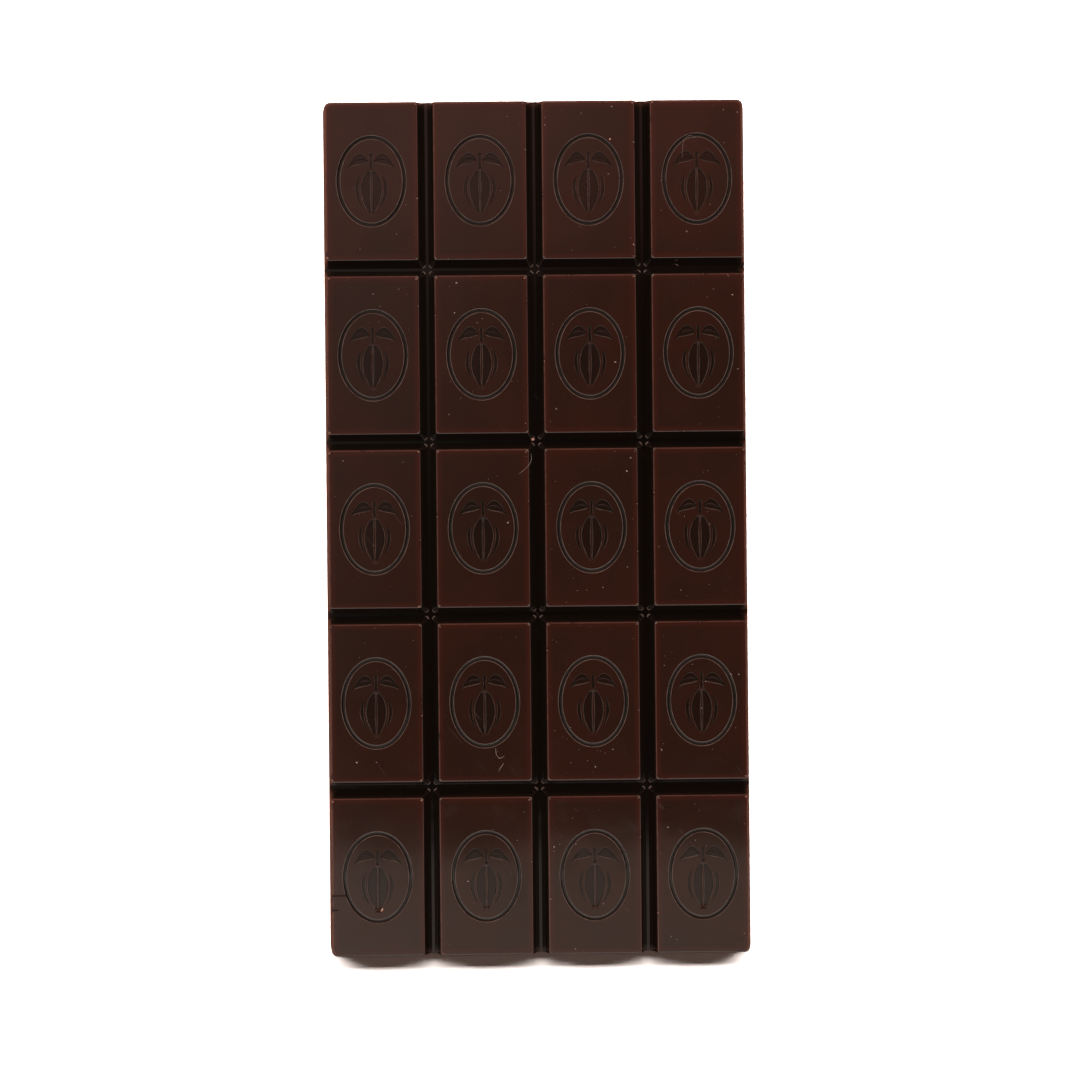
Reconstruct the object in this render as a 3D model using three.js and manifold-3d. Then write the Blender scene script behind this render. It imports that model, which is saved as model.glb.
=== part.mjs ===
// A moulded bar of dark chocolate: four columns by five rows of equal pieces on one web.
// It lies on its flat back, which is the open side of the mould, with its pattern up.
// Millimetres, +Z up, length along Y. The origin is the middle of the flat back.

import * as THREE from 'three';
import Module from 'manifold-3d';
import { mergeVertices } from 'three/addons/utils/BufferGeometryUtils.js';

const wasm = await Module();
wasm.setup();

// ---------- Driving dimensions ----------

const COLUMNS = 4;
const ROWS = 5;
const PIECE_WIDTH = 12.9; // top of one piece, between its grooves
const PIECE_LENGTH = 22.0;
const THICKNESS = 6.6;

const GROOVE_OPENING = 2.2; // between the tops of two pieces
const GROOVE_FLOOR = 0.5;
const GROOVE_DEPTH = 3.6;

const WALL_DRAFT = THREE.MathUtils.degToRad(6); // outer walls, so that the bar leaves its mould
const CORNER_RADIUS = 0.9; // the bar's four corners, in plan
const EDGE_CHAMFER = 0.35; // where the outer walls meet the tops
const ARRIS_CHAMFER = 0.15; // where a groove meets the tops
const CORNER_CUT = 0.5; // facets down the corners of each piece

// The motif pressed into each piece: a ribbed cocoa pod on its stalk, with two leaves, in an oval.
const ENGRAVING_DEPTH = 0.35;
const OVAL_WIDTH = 9.2; // to the middle of the engraved line
const OVAL_LENGTH = 12.2;
const OVAL_LINE = 0.5;
const POD_WIDTH = 4.5;
const POD_LENGTH = 6.5;
const POD_MIDDLE = -1.55; // along Y, from the middle of the piece
const RIB = 0.3; // land left standing between two flutes of the pod
const FLUTES = 4;
const POD_START = 0.05; // where the flutes begin and end, as shares of the pod's length
const POD_END = 0.97;
const STALK_WIDTH = 0.6;
const STALK_LENGTH = 2.0;
const STALK_WAIST = 0.55; // its width halfway up, as a share of the full width
const LEAF_START = 0.42; // from the stalk's middle line
const LEAF_REACH = 2.9; // along X
const LEAF_WIDTH = 1.5;
const LEAF_ARCH = 0.75; // how far the leaf's middle line rises, and how far its tip hangs down
const LEAF_DROOP = 1.0;

// How finely curves are stepped, and how far a cutter runs past what it cuts.
const OVAL_STEPS = 20;
const FLUTE_STEPS = 4;
const LEAF_STEPS = 4;
const CORNER_STEPS = 3;
const CLEARANCE = 1;

// ---------- Sizes that follow ----------

const PITCH_X = PIECE_WIDTH + GROOVE_OPENING;
const PITCH_Y = PIECE_LENGTH + GROOVE_OPENING;
const TOP_WIDTH = COLUMNS * PITCH_X - GROOVE_OPENING;
const TOP_LENGTH = ROWS * PITCH_Y - GROOVE_OPENING;
const FLARE = THICKNESS * Math.tan(WALL_DRAFT); // how much further out the back lies on each side
const WEB = THICKNESS - GROOVE_DEPTH;
const STALK_FOOT = POD_MIDDLE + POD_LENGTH / 2 + 0.05;
const LEAF_ROOT = STALK_FOOT + 1.05;

// ---------- Solids ----------

function toSolid(geometry) {
  const bare = geometry.clone();
  bare.deleteAttribute('normal');
  bare.deleteAttribute('uv');
  const merged = mergeVertices(bare);
  return new wasm.Manifold(new wasm.Mesh({
    numProp: 3,
    vertProperties: new Float32Array(merged.attributes.position.array),
    triVerts: new Uint32Array(merged.index.array),
  }));
}

function toGeometry(solid) {
  const mesh = solid.getMesh();
  const geometry = new THREE.BufferGeometry();
  geometry.setAttribute('position', new THREE.BufferAttribute(mesh.vertProperties, 3));
  geometry.setIndex(new THREE.BufferAttribute(mesh.triVerts, 1));
  geometry.computeVertexNormals();
  return geometry;
}

function joined(solids) {
  return solids.reduce((whole, solid) => whole.add(solid));
}

// ---------- The block ----------

function roundedRectangle(width, length, radius) {
  const x = width / 2 - radius;
  const y = length / 2 - radius;
  const shape = new THREE.Shape();
  shape.absarc(x, y, radius, 0, Math.PI / 2);
  shape.absarc(-x, y, radius, Math.PI / 2, Math.PI);
  shape.absarc(-x, -y, radius, Math.PI, Math.PI * 1.5);
  shape.absarc(x, -y, radius, Math.PI * 1.5, Math.PI * 2);
  return shape;
}

// The outline drawn in on all sides as it rises: first the draft of the walls, then the chamfer.
function block() {
  const levels = [
    { z: 0, inset: 0 },
    { z: THICKNESS - EDGE_CHAMFER, inset: (THICKNESS - EDGE_CHAMFER) * Math.tan(WALL_DRAFT) },
    { z: THICKNESS, inset: FLARE + EDGE_CHAMFER },
  ];
  const steps = levels.length - 1;
  const outline = roundedRectangle(TOP_WIDTH + 2 * FLARE, TOP_LENGTH + 2 * FLARE, CORNER_RADIUS);
  const geometry = new THREE.ExtrudeGeometry(outline, {
    depth: steps, steps, bevelEnabled: false, curveSegments: CORNER_STEPS,
  });
  const position = geometry.attributes.position;
  for (let i = 0; i < position.count; i += 1) {
    const level = levels[Math.round(position.getZ(i))];
    const x = position.getX(i);
    const y = position.getY(i);
    position.setXYZ(i, x - Math.sign(x) * level.inset, y - Math.sign(y) * level.inset, level.z);
  }
  return toSolid(geometry);
}

// ---------- The grooves ----------

// The middle lines of the grooves across one direction.
function groovePlaces(count, pitch) {
  return Array.from({ length: count - 1 }, (_, i) => (i + 1 - count / 2) * pitch);
}

// A V with a narrow flat floor, steep flanks and a chamfer at each top arris, along Y.
function groove(length) {
  const half = GROOVE_OPENING / 2;
  const section = new THREE.Shape([
    new THREE.Vector2(-GROOVE_FLOOR / 2, WEB),
    new THREE.Vector2(GROOVE_FLOOR / 2, WEB),
    new THREE.Vector2(half, THICKNESS - ARRIS_CHAMFER),
    new THREE.Vector2(half + ARRIS_CHAMFER + CLEARANCE, THICKNESS + CLEARANCE),
    new THREE.Vector2(-half - ARRIS_CHAMFER - CLEARANCE, THICKNESS + CLEARANCE),
    new THREE.Vector2(-half, THICKNESS - ARRIS_CHAMFER),
  ]);
  const geometry = new THREE.ExtrudeGeometry(section, { depth: length, bevelEnabled: false });
  geometry.translate(0, 0, -length / 2);
  geometry.rotateX(Math.PI / 2);
  return geometry;
}

// A four-sided spike, corners on the axes: it cuts a facet down each corner of the pieces around it.
// Those corners lie half a groove off along both axes at a crossing, and along one at a groove's end.
function cornerCutter(x, y, axes) {
  const bottom = (axes * GROOVE_FLOOR) / 2 + CORNER_CUT;
  const top = (axes * GROOVE_OPENING) / 2 + CORNER_CUT;
  const height = GROOVE_DEPTH + CLEARANCE;
  const topAtClearance = bottom + (top - bottom) * (height / GROOVE_DEPTH);
  const geometry = new THREE.CylinderGeometry(topAtClearance, bottom, height, 4);
  geometry.rotateX(Math.PI / 2);
  geometry.translate(x, y, WEB + height / 2);
  return geometry;
}

function grooves() {
  const acrossX = groovePlaces(COLUMNS, PITCH_X);
  const acrossY = groovePlaces(ROWS, PITCH_Y);
  const cutters = [];
  for (const x of acrossX) {
    cutters.push(groove(TOP_LENGTH + 2 * FLARE + 2 * CLEARANCE).translate(x, 0, 0));
  }
  for (const y of acrossY) {
    const across = groove(TOP_WIDTH + 2 * FLARE + 2 * CLEARANCE).rotateZ(Math.PI / 2);
    cutters.push(across.translate(0, y, 0));
  }
  for (const y of acrossY) {
    acrossX.forEach((x) => cutters.push(cornerCutter(x, y, 2)));
    cutters.push(cornerCutter(-TOP_WIDTH / 2, y, 1), cornerCutter(TOP_WIDTH / 2, y, 1));
  }
  for (const x of acrossX) {
    cutters.push(cornerCutter(x, -TOP_LENGTH / 2, 1), cornerCutter(x, TOP_LENGTH / 2, 1));
  }
  return joined(cutters.map(toSolid));
}

// ---------- The motif ----------

// How wide the pod is at a share of the way from its stalk to its tip: full, then drawn to a point.
function podHalfWidth(share) {
  return (POD_WIDTH / 2) * Math.sin(Math.PI * share ** 0.85) ** 0.75;
}

// One flute lies between two meridians of the pod. A rib parts it from the next, and the ribs draw
// together towards both ends as the meridians do.
function flute(index) {
  const meridian = (edge) => Math.sin((edge / FLUTES - 0.5) * Math.PI);
  const side = (edge, ribHalf) => Array.from({ length: FLUTE_STEPS + 1 }, (_, i) => {
    const share = POD_START + ((POD_END - POD_START) * i) / FLUTE_STEPS;
    const x = (meridian(edge) + ribHalf / (POD_WIDTH / 2)) * podHalfWidth(share);
    return new THREE.Vector2(x, POD_MIDDLE + POD_LENGTH * (0.5 - share));
  });
  const left = side(index, index === 0 ? 0 : RIB / 2);
  const right = side(index + 1, index === FLUTES - 1 ? 0 : -RIB / 2);
  return new THREE.Shape([...left, ...right.reverse()]);
}

// A pointed leaf along a middle line that arches up from the stalk and droops to the tip.
function leaf(hand) {
  const edge = (way) => Array.from({ length: LEAF_STEPS + 1 }, (_, i) => {
    const share = i / LEAF_STEPS;
    const out = way * (LEAF_WIDTH / 2) * Math.sin(Math.PI * share ** 0.8);
    const spine = 4 * LEAF_ARCH * share * (1 - share) - LEAF_DROOP * share;
    return new THREE.Vector2(hand * (LEAF_START + LEAF_REACH * share), LEAF_ROOT + spine + out);
  });
  return new THREE.Shape([...edge(1), ...edge(-1).slice(1, -1).reverse()]);
}

function oval() {
  const ellipse = (offset) => Array.from({ length: OVAL_STEPS }, (_, i) => {
    const turn = (i / OVAL_STEPS) * Math.PI * 2;
    const x = (OVAL_WIDTH / 2 + offset) * Math.cos(turn);
    return new THREE.Vector2(x, (OVAL_LENGTH / 2 + offset) * Math.sin(turn));
  });
  const ring = new THREE.Shape(ellipse(OVAL_LINE / 2));
  ring.holes.push(new THREE.Path(ellipse(-OVAL_LINE / 2)));
  return ring;
}

// The stalk is narrowest halfway up, and wide again where it was cut.
function stalk() {
  const half = STALK_WIDTH / 2;
  const right = [
    new THREE.Vector2(half, STALK_FOOT),
    new THREE.Vector2(half * STALK_WAIST, STALK_FOOT + STALK_LENGTH / 2),
    new THREE.Vector2(half, STALK_FOOT + STALK_LENGTH),
  ];
  const left = right.map((point) => new THREE.Vector2(-point.x, point.y)).reverse();
  return new THREE.Shape([...right, ...left]);
}

function motif() {
  const shapes = [oval(), stalk(), leaf(1), leaf(-1)];
  for (let index = 0; index < FLUTES; index += 1) {
    shapes.push(flute(index));
  }
  return joined(shapes.map((shape) => {
    const geometry = new THREE.ExtrudeGeometry(shape, {
      depth: ENGRAVING_DEPTH + CLEARANCE, bevelEnabled: false,
    });
    geometry.translate(0, 0, THICKNESS - ENGRAVING_DEPTH);
    return toSolid(geometry);
  }));
}

function motifs() {
  const one = motif();
  const all = [];
  for (let column = 0; column < COLUMNS; column += 1) {
    for (let row = 0; row < ROWS; row += 1) {
      const x = (column - (COLUMNS - 1) / 2) * PITCH_X;
      const y = (row - (ROWS - 1) / 2) * PITCH_Y;
      all.push(one.translate([x, y, 0]));
    }
  }
  return joined(all);
}

// ---------- The bar ----------

const chocolate = new THREE.MeshStandardMaterial({
  color: new THREE.Color(0x35201a), roughness: 0.35, metalness: 0,
});

const bar = new THREE.Mesh(toGeometry(block().subtract(grooves()).subtract(motifs())), chocolate);
bar.name = 'chocolate_bar';

const group = new THREE.Group();
group.add(bar);

export default group;
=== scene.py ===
# %% [markdown]
# # A moulded bar of dark chocolate
# This file is a lesson in making a thing that repeats. A bar is poured into a mould whose cavities are
# all alike, so it is one shape, the piece, laid out on a grid. Lengths are worked out in millimetres,
# as a mould maker would, and turned into Blender's metres when a mesh is made.
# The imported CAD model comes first. It is the fixed frame that everything below has to fit.

import math
import random
from functools import partial

import bmesh
import bpy
from mathutils import Matrix, Vector, kdtree, noise
from mathutils.geometry import delaunay_2d_cdt


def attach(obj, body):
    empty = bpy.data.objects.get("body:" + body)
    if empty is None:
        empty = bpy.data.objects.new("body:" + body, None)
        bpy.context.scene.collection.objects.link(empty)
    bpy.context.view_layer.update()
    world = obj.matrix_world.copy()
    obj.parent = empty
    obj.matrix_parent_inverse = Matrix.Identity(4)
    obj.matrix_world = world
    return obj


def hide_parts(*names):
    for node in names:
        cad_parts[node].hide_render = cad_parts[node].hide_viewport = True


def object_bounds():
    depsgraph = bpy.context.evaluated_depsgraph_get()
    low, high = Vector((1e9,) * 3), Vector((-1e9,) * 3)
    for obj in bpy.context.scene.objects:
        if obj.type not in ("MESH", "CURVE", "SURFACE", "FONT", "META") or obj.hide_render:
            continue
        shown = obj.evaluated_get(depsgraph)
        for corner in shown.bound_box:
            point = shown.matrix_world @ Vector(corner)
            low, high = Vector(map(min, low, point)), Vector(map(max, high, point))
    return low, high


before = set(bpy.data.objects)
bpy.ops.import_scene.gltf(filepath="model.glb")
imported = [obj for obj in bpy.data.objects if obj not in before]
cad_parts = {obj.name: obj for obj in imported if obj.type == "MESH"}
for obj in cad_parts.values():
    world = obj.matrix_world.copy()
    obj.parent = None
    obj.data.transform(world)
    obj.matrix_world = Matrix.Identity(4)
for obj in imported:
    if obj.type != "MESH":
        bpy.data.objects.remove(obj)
cad_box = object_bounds()
MM = 0.001


def in_mm(vector):
    return [round(value / MM, 2) for value in vector]


print("the solid to dress:", sorted(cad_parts), in_mm(cad_box[1] - cad_box[0]), "mm")

# %% [markdown]
# ## The camera
# The bar is seen from almost straight above. A camera is only a place, an aim and a lens, so it is put
# where the eye would be: a third of a metre up, not quite over the middle, and a little askew. It looks
# down square to the bar, so that the long grooves stay parallel, and a small shift of the lens brings
# the bar to the middle of the frame. Its rotation is a matrix of three axes, which is clearer than
# three angles when it looks straight down.

# %% Camera
FRAME_PIXELS = 1080
EYE = Vector((-3.4, 9.2, 346.0)) * MM
FRAME_MIDDLE = Vector((0.45, -1.70, 6.6)) * MM
VIEW_WIDTH = 150.25 * MM  # what the frame takes in, at the height of the bar's top
ASKEW = math.radians(0.54)
AIM = Vector((FRAME_MIDDLE.x, EYE.y, FRAME_MIDDLE.z))


def camera_matrix(eye, aim, askew):
    back = (eye - aim).normalized()
    right = Vector((math.sin(askew), math.cos(askew), 0)).cross(back).normalized()
    axes = Matrix((right, back.cross(right), back)).transposed()
    return Matrix.Translation(eye) @ axes.to_4x4()


camera_data = bpy.data.cameras.new("camera")
camera_data.sensor_width = 36
camera_data.lens = camera_data.sensor_width * (EYE - AIM).length / VIEW_WIDTH
camera_data.shift_y = (FRAME_MIDDLE.y - EYE.y) / VIEW_WIDTH
camera_data.clip_start = 0.01
camera = bpy.data.objects.new("camera", camera_data)
camera.matrix_world = camera_matrix(EYE, AIM, ASKEW)
bpy.context.scene.collection.objects.link(camera)
bpy.context.scene.camera = camera
pixels_per_mm = FRAME_PIXELS * MM / VIEW_WIDTH
print("lens:", round(camera_data.lens, 1), "mm,", round(pixels_per_mm, 2), "pixels to a millimetre")

# %% [markdown]
# ## The sizes of the mould
# A mould is drawn from a few numbers: how many pieces, how large the flat top of one is, how wide and
# deep the groove between two is, and how far the outer walls lean so that the cold bar drops out.
# The places of all the pieces and walls follow from these.

# %% Sizes
COLUMNS = 4
ROWS = 5
PIECE_WIDTH = 12.9
PIECE_LENGTH = 22.0
THICKNESS = 6.6
GROOVE_OPENING = 2.2
GROOVE_FLOOR = 0.5
GROOVE_DEPTH = 3.6
WALL_DRAFT = math.radians(6)

ARRIS_RADIUS = 0.16  # where a groove's flank turns into the top
RIM_RADIUS = 0.3  # where an outer wall does
BACK_RADIUS = 0.2  # the lower edge of the bar
BAR_CORNER = 0.8  # the upright corners of the bar, seen from above
TOP_CORNER = 0.34  # those of a piece, at its top
FOOT_CORNER = 0.5  # and at the grooves' floor

PITCH_X = PIECE_WIDTH + GROOVE_OPENING
PITCH_Y = PIECE_LENGTH + GROOVE_OPENING
WEB = THICKNESS - GROOVE_DEPTH
print("pitch:", round(PITCH_X, 2), "by", round(PITCH_Y, 2), "mm, web", round(WEB, 2), "mm")

# %% [markdown]
# ## A profile for each side
# Seen from above, every face of the bar is a height over a flat plan, because a mould has no undercuts.
# So a piece can be drawn in plan, as rings one inside the other, and each ring given its height. What
# changes from ring to ring is how far in it lies, and that is a plain formula: a straight flank that
# turns through an arc into the flat top. Subdivision or a bevel would round these edges too, but a
# formula puts the vertices just where the light needs them, and nowhere else.

# %% The profile of a flank
GROOVE_LEAN = math.atan((GROOVE_OPENING - GROOVE_FLOOR) / 2 / GROOVE_DEPTH)
FILLET = 0.04  # how far a flank runs out over the groove's floor
FILLET_HEIGHT = 0.25


def flank_inset(height, lean, radius):
    """How far inside its upper edge line a flank lies at a height, for a lean from upright."""
    corner_to_arc = radius * math.tan((math.pi / 2 - lean) / 2)
    if height <= THICKNESS - corner_to_arc * math.cos(lean):
        return (height - THICKNESS) * math.tan(lean)
    rise = radius - (THICKNESS - height)
    return corner_to_arc - math.sqrt(max(radius**2 - rise**2, 0.0))


def groove_inset(height):
    """From the middle of a groove to its flank."""
    foot = max(0.0, 1 - (height - WEB) / FILLET_HEIGHT)
    return GROOVE_OPENING / 2 + flank_inset(height, GROOVE_LEAN, ARRIS_RADIUS) - FILLET * foot**2


def wall_inset(height):
    """From the middle of the groove that the next piece would have, to the outer wall."""
    return GROOVE_OPENING / 2 + flank_inset(height, WALL_DRAFT, RIM_RADIUS)


def corner_radius(height):
    """The upright corner of a piece grows wider from its top down to the grooves' floor."""
    return TOP_CORNER + (FOOT_CORNER - TOP_CORNER) * (THICKNESS - height) / GROOVE_DEPTH


below_top = (0.75, 0.32, 0.17, 0.115, 0.075, 0.04, 0.013, 0.0)
FOOT_LEVELS = [WEB, WEB + 0.1, WEB + 0.26, WEB + 0.42]
FLANK_LEVELS = FOOT_LEVELS + [WEB + 1.4] + [THICKNESS - drop for drop in below_top]
WALL_LEVELS = [BACK_RADIUS, BACK_RADIUS + 1.1, WEB]
print("a groove's flank leans", round(math.degrees(GROOVE_LEAN), 1), "degrees, rings:", len(FLANK_LEVELS))

# %% [markdown]
# ## Rings in plan
# A ring is an oblong with rounded corners, which needn't all be alike: the bar's own four corners are
# rounder than those between two pieces. Straight stretches are stepped evenly, and corners by angle.

# %% Rings
SIDE_STEP = 1.3
CORNER_STEPS = 4


def steps_between(low, high, step=SIDE_STEP):
    count = max(2, round(abs(high - low) / step))
    return [low + (high - low) * i / count for i in range(count + 1)]


def corner_arc(x, y, radius, quarter):
    """A quarter circle round x, y. Quarter 0 lies between +X and +Y, and they go anticlockwise."""
    turns = [(quarter + i / CORNER_STEPS) * math.pi / 2 for i in range(CORNER_STEPS + 1)]
    return [(x + radius * math.cos(turn), y + radius * math.sin(turn)) for turn in turns]


def ring(left, right, bottom, top, radii):
    """A rounded oblong, anticlockwise from its right side. One radius for each quarter."""
    sides = ((right, top), (left, top), (left, bottom), (right, bottom))
    inward = ((-1, -1), (1, -1), (1, 1), (-1, 1))
    arcs = []
    for quarter, ((x, y), (way_x, way_y), radius) in enumerate(zip(sides, inward, radii)):
        arcs.append(corner_arc(x + way_x * radius, y + way_y * radius, radius, quarter))
    points = []
    for number, arc in enumerate(arcs):
        start, end = arc[-1], arcs[(number + 1) % 4][0]
        points += arc
        if number % 2 == 0:
            points += [(x, start[1]) for x in steps_between(start[0], end[0])[1:-1]]
        else:
            points += [(start[0], y) for y in steps_between(start[1], end[1])[1:-1]]
    return points


ring_count = len(ring(-6, 6, -11, 11, (TOP_CORNER,) * 4))
print("points in a ring:", ring_count)

# %% [markdown]
# ## A plan that turns into a surface
# Blender can fill a drawing with triangles that keep every line of it, by a constrained Delaunay
# triangulation. So the whole piece is drawn flat, ring by ring and line by line, each point with its
# height and three marks for the colour, which paint light and shade as well: whether it lies on an arris,
# which is painted lighter as rubbed and lit, how deep it is pressed in, where shade is painted, and
# whether it is on the rim of something pressed, where a grey highlight is painted. A mark above 1 says
# more: an arris mark that light comes through the wall there, and a rim mark that a glint is painted on
# the place. Then the filled drawing is lifted to its heights. How high a point rises over the grooves'
# floor is kept as a fourth mark, and the shade in the grooves is painted from it too.

# %% The plan
SAME_POINT = 1e-5


class Plan:
    """A flat drawing whose points carry a height, and marks for arris, pressing and rim."""

    def __init__(self):
        self.places = []
        self.marks = []
        self.lines = []

    def points(self, points, heights, arris=0.0, pressed=0.0, rim=0.0):
        """The height and each mark is one value for all the points, or a list with one for each."""
        first = len(self.places)
        given = (heights, arris, pressed, rim)
        for number, point in enumerate(points):
            self.places.append(Vector(point))
            self.marks.append([mark[number] if isinstance(mark, list) else mark for mark in given])
        return first, len(self.places) - 1

    def line(self, points, heights, arris=0.0, pressed=0.0, rim=0.0, closed=False):
        first, last = self.points(points, heights, arris, pressed, rim)
        self.lines += [(i, i + 1) for i in range(first, last)]
        if closed:
            self.lines.append((last, first))

    def mesh(self, name):
        places, _, faces, origins, _, _ = delaunay_2d_cdt(self.places, self.lines, [], 0, SAME_POINT)
        crossings = [tuple(place) for place, origin in zip(places, origins) if not origin]
        if crossings:
            print(name, "has lines that cross, so", len(crossings), "points have no height:", crossings[:9])
        marks = [self.marks[origin[0]] if origin else (THICKNESS, 0.0, 0.0, 0.0) for origin in origins]
        data = bpy.data.meshes.new(name)
        data.from_pydata([(p.x * MM, p.y * MM, m[0] * MM) for p, m in zip(places, marks)], [], faces)
        rise = [max(0.0, mark[0] - WEB) / GROOVE_DEPTH for mark in marks]
        for label, values in zip(("rise", "arris", "pressed", "rim"), (rise, *list(zip(*marks))[1:])):
            layer = data.attributes.new(label, "FLOAT", "POINT")
            layer.data.foreach_set("value", values)
        return data


print("a plan holds points with their marks, and the lines between them")

# %% [markdown]
# ## The motif
# Each piece has a motif pressed into its top: an oval line round a ribbed cocoa pod on its stalk, with
# two leaves. A pressed line is a small groove, so it is drawn as parallel lines that step down into it.
# The pod's flutes and the leaves are sunk patches between two bowed edges, so one function draws both:
# it walks along the patch and across it, and the depth follows a curve from edge to edge.

# %% The oval line
ENGRAVING_DEPTH = 0.35
OVAL_WIDTH = 9.2
OVAL_LENGTH = 12.2
OVAL_STEPS = 88
LINE_SECTION = ((0.1, 1.0), (0.15, 0.95), (0.2, 0.5), (0.24, 0.1), (0.29, 0.0), (0.34, 0.0), (0.42, 0.0))
LINE_HIGHLIGHT = (0.22, 0.32)  # between these distances its edge gets a painted grey highlight


def draw_oval(plan):
    """Lines on both sides of the groove's middle, at each distance out and share of the full depth."""
    for out, share in LINE_SECTION:
        for way in (-1, 1):
            points = []
            for i in range(OVAL_STEPS):
                turn = 2 * math.pi * i / OVAL_STEPS
                middle = Vector((OVAL_WIDTH / 2 * math.cos(turn), OVAL_LENGTH / 2 * math.sin(turn)))
                normal = Vector((middle.x / OVAL_WIDTH**2, middle.y / OVAL_LENGTH**2)).normalized()
                points.append(middle + way * out * normal)
            rim = 1.0 if LINE_HIGHLIGHT[0] < out < LINE_HIGHLIGHT[1] else 0.0
            plan.line(points, THICKNESS - ENGRAVING_DEPTH * share, 0.0, share, rim, closed=True)


print("oval:", OVAL_WIDTH, "by", OVAL_LENGTH, "mm, pressed", ENGRAVING_DEPTH, "mm deep")

# %% [markdown]
# ### Sunk patches
# Two edges are enough to describe a patch. The depth across it is a flat-bottomed bowl, and a leaf has a
# thin midrib left standing in its middle. The walls are kept narrow in proportion where a patch comes to
# a point. A leaf's own shape hangs on a spine that arches up from the stalk and droops to the tip. The
# pod's two outer flutes are crescents that stop short of its tips, or the four would run together there.

# %% The pod, its stalk and its leaves
POD_WIDTH = 4.5
POD_LENGTH = 6.5
POD_MIDDLE = -1.55
POD_START = 0.05
POD_END = 0.94
POD_SKEW = 0.85  # under 1 it is widest above its middle
POD_FULLNESS = 0.75  # under 1 its ends are blunter than a sine wave
RIB = 0.3
FLUTES = 4
CRESCENT_STOPS = 0.13
CRESCENT_FULLNESS = 0.6
STALK_WIDTH = 0.6
STALK_WAIST = 0.45  # how much narrower it is halfway up
STALK_LENGTH = 2.0
STALK_FOOT = POD_MIDDLE + POD_LENGTH / 2 + 0.05
LEAF_START = 0.42  # from the stalk's middle line
LEAF_REACH = 2.9
LEAF_ROOT = STALK_FOOT + 1.05
LEAF_ARCH = 0.75
LEAF_DROOP = 1.0
LEAF_WIDTH = 1.5
LEAF_SKEW = 0.8
MIDRIB = 0.1
WALL = 0.13  # how far in from a patch's edge its floor begins
NARROW_WALL = 0.2  # and at most this share of the way across
NARROW_MIDRIB = 0.08
END_WALL = 0.03  # the share of a patch's length that its steep ends take
LEAF_RIB = 0.6  # how far a midrib stands up, as a share of the depth


def smooth(value):
    value = min(max(value, 0.0), 1.0)
    return value * value * (3 - 2 * value)


PATCH_SECTION = (
    # shares of the wall's width and of the depth, then the marks: pressed, where shade is painted, and rim,
    # where a grey highlight is painted
    (-0.4, 0.0, 0.0, 0.0),
    (0.0, 0.0, 0.0, 0.9),
    (0.4, 0.5, 0.6, 0.9),
    (1.0, 1.0, 1.0, 0.0),
    (1.7, 1.0, 0.5, 0.0),
)


def draw_patch(plan, left, right, steps, midrib=0.0):
    """Each edge is a function of the share of the way along the patch."""
    shares = [0.5 - 0.5 * math.cos(math.pi * i / steps) for i in range(steps + 1)]
    lefts = [Vector(left(share)) for share in shares]
    rights = [Vector(right(share)) for share in shares]
    gaps = [(q - p).length for p, q in zip(lefts, rights)]
    ends = [smooth(min(place, 1 - place) / END_WALL) for place in shares]

    def draw_line(points, depth, pressed, rim):
        heights = [THICKNESS - ENGRAVING_DEPTH * depth * end for end in ends]
        plan.line(points, heights, 0.0, [pressed * end for end in ends], [rim * end for end in ends])

    def draw_lines(steps_in, *section):
        for near, far in ((lefts, rights), (rights, lefts)):
            shares_in = [step / gap if gap else 0 for step, gap in zip(steps_in, gaps)]
            draw_line([p.lerp(q, share) for p, q, share in zip(near, far, shares_in)], *section)

    for across, *section in PATCH_SECTION:
        draw_lines([min(WALL, gap * NARROW_WALL) * across for gap in gaps], *section)
    if midrib:
        draw_lines([gap / 2 - min(MIDRIB, gap * NARROW_MIDRIB) for gap in gaps], 1.0, 0.5, 0.0)
    draw_line([p.lerp(q, 0.5) for p, q in zip(lefts, rights)], 1 - midrib, 0.5, midrib)


def pod_edge(index, rib):
    """A meridian of the pod, drawn to a point at its tip, with its rib's width taken off."""
    meridian = math.sin((index / FLUTES - 0.5) * math.pi) + rib / (POD_WIDTH / 2)

    def place(share):
        down = POD_START + (POD_END - POD_START) * share
        half = POD_WIDTH / 2 * math.sin(math.pi * down**POD_SKEW) ** POD_FULLNESS
        return (meridian * half, POD_MIDDLE + POD_LENGTH * (0.5 - down))

    return place


def crescent(outline, edge):
    """Both edges of a patch along the outline, which stops short of its ends and is pointed there."""
    def along(share):
        return CRESCENT_STOPS + (1 - 2 * CRESCENT_STOPS) * share

    def inner(share):
        wide = math.sin(math.pi * share) ** CRESCENT_FULLNESS
        return Vector(outline(along(share))).lerp(Vector(edge(along(share))), wide)

    return lambda share: outline(along(share)), inner


def leaf_edge(hand, way):
    def place(share):
        out = way * LEAF_WIDTH / 2 * math.sin(math.pi * share**LEAF_SKEW)
        spine = 4 * LEAF_ARCH * share * (1 - share) - LEAF_DROOP * share
        return (hand * (LEAF_START + LEAF_REACH * share), LEAF_ROOT + spine + out)

    return place


def stalk_edge(hand):
    """Narrowest halfway up, and wider again where it was cut from the tree."""
    def place(share):
        half = STALK_WIDTH / 2 * (1 - STALK_WAIST * math.sin(math.pi * share))
        return (hand * half, STALK_FOOT + STALK_LENGTH * share)

    return place


FLUTE_STEPS = 18
STALK_STEPS = 6
LEAF_STEPS = 14


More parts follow.
